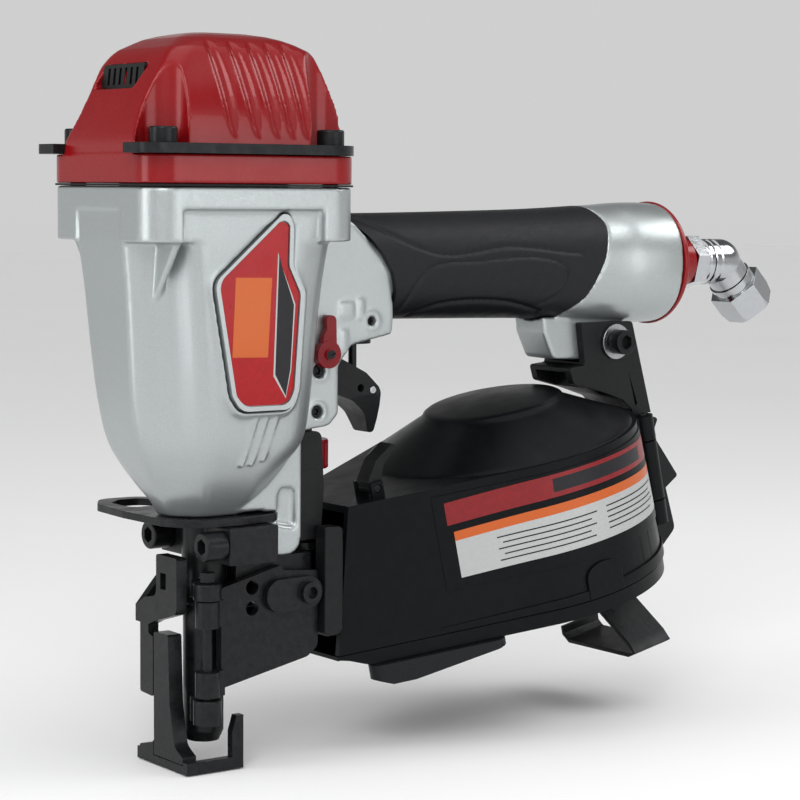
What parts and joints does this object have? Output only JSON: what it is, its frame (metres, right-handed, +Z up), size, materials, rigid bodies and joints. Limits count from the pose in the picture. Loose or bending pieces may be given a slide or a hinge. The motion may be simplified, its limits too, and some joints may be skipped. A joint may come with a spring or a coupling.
{
  "type": "pneumatic coil roofing nailer",
  "caption": "Air-powered coil roofing nailer: cast body and handle, domed cap, tilted round coil magazine with hinged cover, hinged nose door, sliding contact arm and swivel air fitting.",
  "frame": {"origin": "centre of the bounding box in X and Y, at its lowest face in Z (underside of the contact foot)", "axes": "+X rearward along the handle, +Z up along the driver towards the cap, +Y the side away from the magazine cover's opening wall"},
  "size_m": [0.3324, 0.1166, 0.268],
  "materials": {
    "silver_casting": "satin",
    "red_enamel": "gloss",
    "red_plastic": "gloss",
    "black_plastic": "satin",
    "black_steel": "blackened",
    "rubber_grip": "matte",
    "seal_rubber": "matte",
    "chrome": "polished",
    "bright_steel": "machined",
    "light_alloy": "machined"
  },
  "bodies": {
    "housing": {"main_housing": "silver_casting", "cylinder_cap": "red_enamel", "end_cap": "red_enamel", "side_badge_right": "red_plastic", "side_badge_left": "red_plastic", "magazine_base": "black_plastic", "magazine_bracket": "black_plastic", "guide_tube_cover": "black_plastic", "latch_post": "black_plastic", "bumper_plate": "black_steel", "cap_bolt_1": "black_steel", "cap_bolt_2": "black_steel", "cap_bolt_3": "black_steel", "cap_bolt_4": "black_steel", "nose_body": "black_steel", "nose_flange_plate": "black_steel", "nose_bolt_1": "black_steel", "nose_bolt_2": "black_steel", "feed_cylinder": "black_steel", "trigger_pin": "black_steel", "frame_pin": "black_steel", "rear_foot": "black_steel", "bracket_bolt": "black_steel", "platform_post": "black_steel", "handle_grip": "rubber_grip", "guard_pad": "rubber_grip", "bumper": "rubber_grip", "cap_gasket": "seal_rubber", "sleeve_seal": "seal_rubber", "swivel_nut": "chrome", "door_hinge_pin": "bright_steel", "cover_hinge_pin": "bright_steel", "bracket_washer": "bright_steel", "cylinder_sleeve": "light_alloy", "trigger_valve_body": "light_alloy"},
    "driver": {"piston": "light_alloy", "piston_ring": "seal_rubber", "driver_blade": "bright_steel"},
    "head_valve": {"head_valve": "black_plastic", "head_valve_spring": "bright_steel"},
    "trigger": {"trigger": "black_plastic", "lever_pin": "bright_steel"},
    "contact_lever": {"contact_lever": "black_steel"},
    "valve_stem": {"trigger_valve_stem": "bright_steel"},
    "lock_lever": {"lock_lever": "red_plastic"},
    "contact_arm": {"contact_arm": "black_steel", "contact_foot": "black_steel", "contact_spring": "bright_steel"},
    "depth_dial": {"depth_dial": "red_plastic"},
    "nose_door": {"nose_door": "black_steel"},
    "door_latch": {"door_latch": "black_steel"},
    "feed_piston": {"feed_piston": "bright_steel"},
    "magazine_cover": {"magazine_cover": "black_plastic"},
    "cover_latch": {"cover_latch": "black_plastic"},
    "coil_platform": {"coil_platform": "black_plastic"},
    "swivel_elbow": {"swivel_elbow": "chrome"},
    "swivel_coupler": {"swivel_coupler": "chrome"}
  },
  "joints": [
    {"name": "driver_stroke", "type": "slide", "parent": "housing", "child": "driver", "axis": [0, 0, -1], "range_m": [0, 0.0595]},
    {"name": "head_valve_lift", "type": "slide", "parent": "housing", "child": "head_valve", "axis": [0, 0, 1], "range_m": [0, 0.004], "stiffness_N_per_m": 1500, "springref_m": -0.006, "deforming": ["head_valve_spring"]},
    {"name": "trigger_pull", "type": "hinge", "parent": "housing", "child": "trigger", "pos_m": [-0.0772, 0, 0.1448], "axis": [0, -1, 0], "range_deg": [0, 10], "stiffness_Nm_per_rad": 1.2, "springref_deg": -14.32},
    {"name": "contact_lever_tilt", "type": "hinge", "parent": "trigger", "child": "contact_lever", "pos_m": [-0.0482, 0, 0.136], "axis": [0, 1, 0], "range_deg": [0, 5], "stiffness_Nm_per_rad": 0.2, "springref_deg": -11.46},
    {"name": "valve_stem_push", "type": "slide", "parent": "housing", "child": "valve_stem", "axis": [0, 0, 1], "range_m": [0, 0.004]},
    {"name": "lock_lever_turn", "type": "hinge", "parent": "housing", "child": "lock_lever", "pos_m": [-0.0752, -0.017, 0.1511], "axis": [0, 1, 0], "range_deg": [0, 165]},
    {"name": "contact_arm_slide", "type": "slide", "parent": "housing", "child": "contact_arm", "axis": [0, 0, 1], "range_m": [0, 0.008], "stiffness_N_per_m": 1600, "springref_m": -0.009, "deforming": ["contact_spring"]},
    {"name": "depth_dial_turn", "type": "hinge", "parent": "housing", "child": "depth_dial", "pos_m": [-0.0736, 0, 0.1125], "axis": [0, 0, 1], "range_deg": [0, 360]},
    {"name": "nose_door_swing", "type": "hinge", "parent": "housing", "child": "nose_door", "pos_m": [-0.1257, -0.015, 0.045], "axis": [0, 0, -1], "range_deg": [0, 100]},
    {"name": "door_latch_turn", "type": "hinge", "parent": "nose_door", "child": "door_latch", "pos_m": [-0.0825, -0.0155, 0.0623], "axis": [0, 1, 0], "range_deg": [0, 30], "stiffness_Nm_per_rad": 0.05, "springref_deg": -17.19},
    {"name": "feed_stroke", "type": "slide", "parent": "housing", "child": "feed_piston", "axis": [1, 0, 0], "range_m": [0, 0.008], "stiffness_N_per_m": 500, "springref_m": -0.006},
    {"name": "magazine_cover_swing", "type": "hinge", "parent": "housing", "child": "magazine_cover", "pos_m": [0.08663, -0.017, 0.09783], "axis": [-0.213, 0, 0.977], "range_deg": [0, 90]},
    {"name": "cover_latch_tilt", "type": "hinge", "parent": "magazine_cover", "child": "cover_latch", "pos_m": [-0.054, -0.015, 0.09971], "axis": [0, -1, 0], "range_deg": [0, 20], "stiffness_Nm_per_rad": 0.05, "springref_deg": -17.19},
    {"name": "coil_platform_height", "type": "slide", "parent": "housing", "child": "coil_platform", "axis": [-0.213, 0, 0.977], "range_m": [-0.004, 0.025]},
    {"name": "swivel_turn", "type": "hinge", "parent": "housing", "child": "swivel_elbow", "pos_m": [0.1338, 0, 0.1826], "axis": [1, 0, 0], "continuous": true},
    {"name": "coupler_turn", "type": "hinge", "parent": "swivel_elbow", "child": "swivel_coupler", "pos_m": [0.15153, 0, 0.16987], "axis": [0.7071, 0, -0.7071], "continuous": true}
  ],
  "couplings": [
    {"joint": "valve_stem_push", "follows": "trigger_pull", "m_per_rad": 0.0225}
  ]
}
